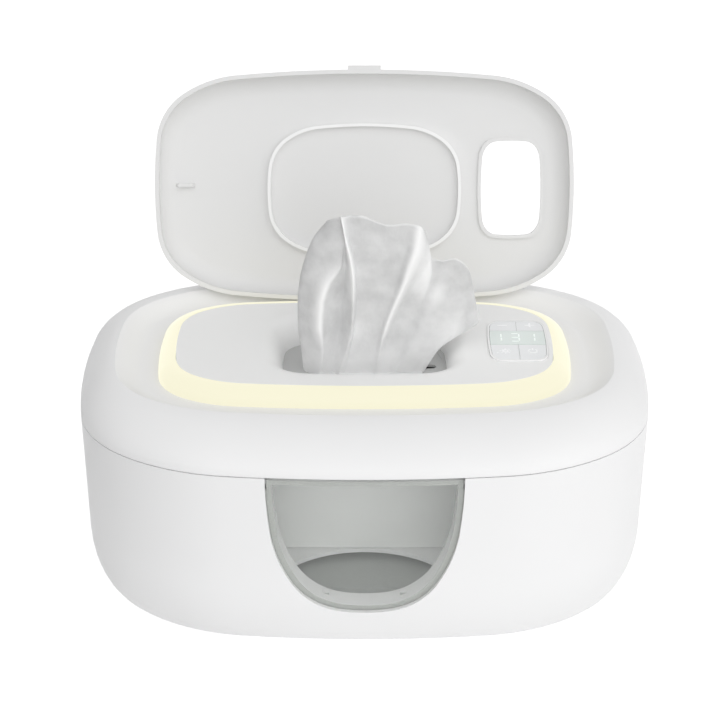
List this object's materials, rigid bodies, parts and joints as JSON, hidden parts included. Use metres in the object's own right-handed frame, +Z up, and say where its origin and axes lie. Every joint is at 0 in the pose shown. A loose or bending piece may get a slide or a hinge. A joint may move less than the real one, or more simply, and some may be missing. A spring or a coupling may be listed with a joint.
{
  "type": "baby wipe warmer",
  "caption": "Baby wipe warmer with a clear front window, a hinged cover with a glowing ring, a lid standing open over the mouth, a small control panel and a wipe in reach.",
  "frame": {"origin": "on the table, under the middle of the body", "axes": "+Z up, -Y out of the front with the window, +X to the viewer's right, so +Y is the hinge side"},
  "size_m": [0.275, 0.2116, 0.2244],
  "materials": {
    "white_plastic": "satin",
    "deck_plastic": "satin",
    "lid_plastic": "satin",
    "lid_rib_plastic": "satin",
    "tank_plastic": "matte",
    "clear_plastic": "clear",
    "frame_plastic": "translucent",
    "diffuser_plastic": "frosted, lit from inside",
    "tray_plastic": "matte",
    "wet_pad": "matte",
    "wipe_cloth": "matte",
    "silicone": "matte",
    "foot_rubber": "matte",
    "key_plastic": "gloss",
    "bezel_plastic": "gloss",
    "display_plastic": "gloss",
    "display_body": "lit",
    "heater_aluminium": "satin",
    "heater_film": "satin",
    "foam": "matte",
    "board": "satin",
    "component": "satin",
    "light_chip": "satin",
    "steel": "satin"
  },
  "bodies": {
    "base": {"lower_shell": "white_plastic", "base_plate": "white_plastic", "rubber_feet": "foot_rubber", "base_screws": "steel", "inner_tank": "tank_plastic", "window_pane": "clear_plastic", "window_frame": "frame_plastic", "wipe_tray": "tray_plastic", "moisture_pad": "wet_pad", "wipe_stack": "wipe_cloth", "heater_plate": "heater_aluminium", "heater_film": "heater_film", "insulation_pad": "foam", "thermal_fuse": "component", "thermistor": "component", "main_board": "board", "board_components": "component", "board_screws": "steel", "dc_socket": "component", "cover_hinge_pins": "steel"},
    "cover": {"upper_shell": "white_plastic", "deck_panel": "deck_plastic", "light_ring": "diffuser_plastic", "led_board": "board", "led_chips": "light_chip", "cover_liner": "tank_plastic", "cover_screws": "steel", "rim_seal": "silicone", "dispensing_membrane": "silicone", "control_bezel": "bezel_plastic", "display_lens": "display_plastic", "display_module": "display_body", "control_board": "board", "key_switches": "component", "lid_hinge_pins": "steel", "top_wipe": "wipe_cloth"},
    "key_minus": {"key_minus": "key_plastic"},
    "key_plus": {"key_plus": "key_plastic"},
    "key_light": {"key_light": "key_plastic"},
    "key_power": {"key_power": "key_plastic"},
    "lid": {"lid_shell": "lid_plastic", "lid_seal": "lid_rib_plastic"}
  },
  "joints": [
    {"name": "cover_hinge", "type": "hinge", "parent": "base", "child": "cover", "pos_m": [0, 0.1054, 0.0974], "axis": [-1, 0, 0], "range_deg": [0, 75]},
    {"name": "lid_hinge", "type": "hinge", "parent": "cover", "child": "lid", "pos_m": [0, 0.059, 0.112], "axis": [1, 0, 0], "range_deg": [0, 110], "deforming": ["top_wipe"]},
    {"name": "key_minus_press", "type": "slide", "parent": "cover", "child": "key_minus", "axis": [0, 0, -1], "range_m": [0, 0.0005], "stiffness_N_per_m": 800, "springref_m": -0.0005},
    {"name": "key_plus_press", "type": "slide", "parent": "cover", "child": "key_plus", "axis": [0, 0, -1], "range_m": [0, 0.0005], "stiffness_N_per_m": 800, "springref_m": -0.0005},
    {"name": "key_light_press", "type": "slide", "parent": "cover", "child": "key_light", "axis": [0, 0, -1], "range_m": [0, 0.0005], "stiffness_N_per_m": 800, "springref_m": -0.0005},
    {"name": "key_power_press", "type": "slide", "parent": "cover", "child": "key_power", "axis": [0, 0, -1], "range_m": [0, 0.0005], "stiffness_N_per_m": 800, "springref_m": -0.0005}
  ]
}
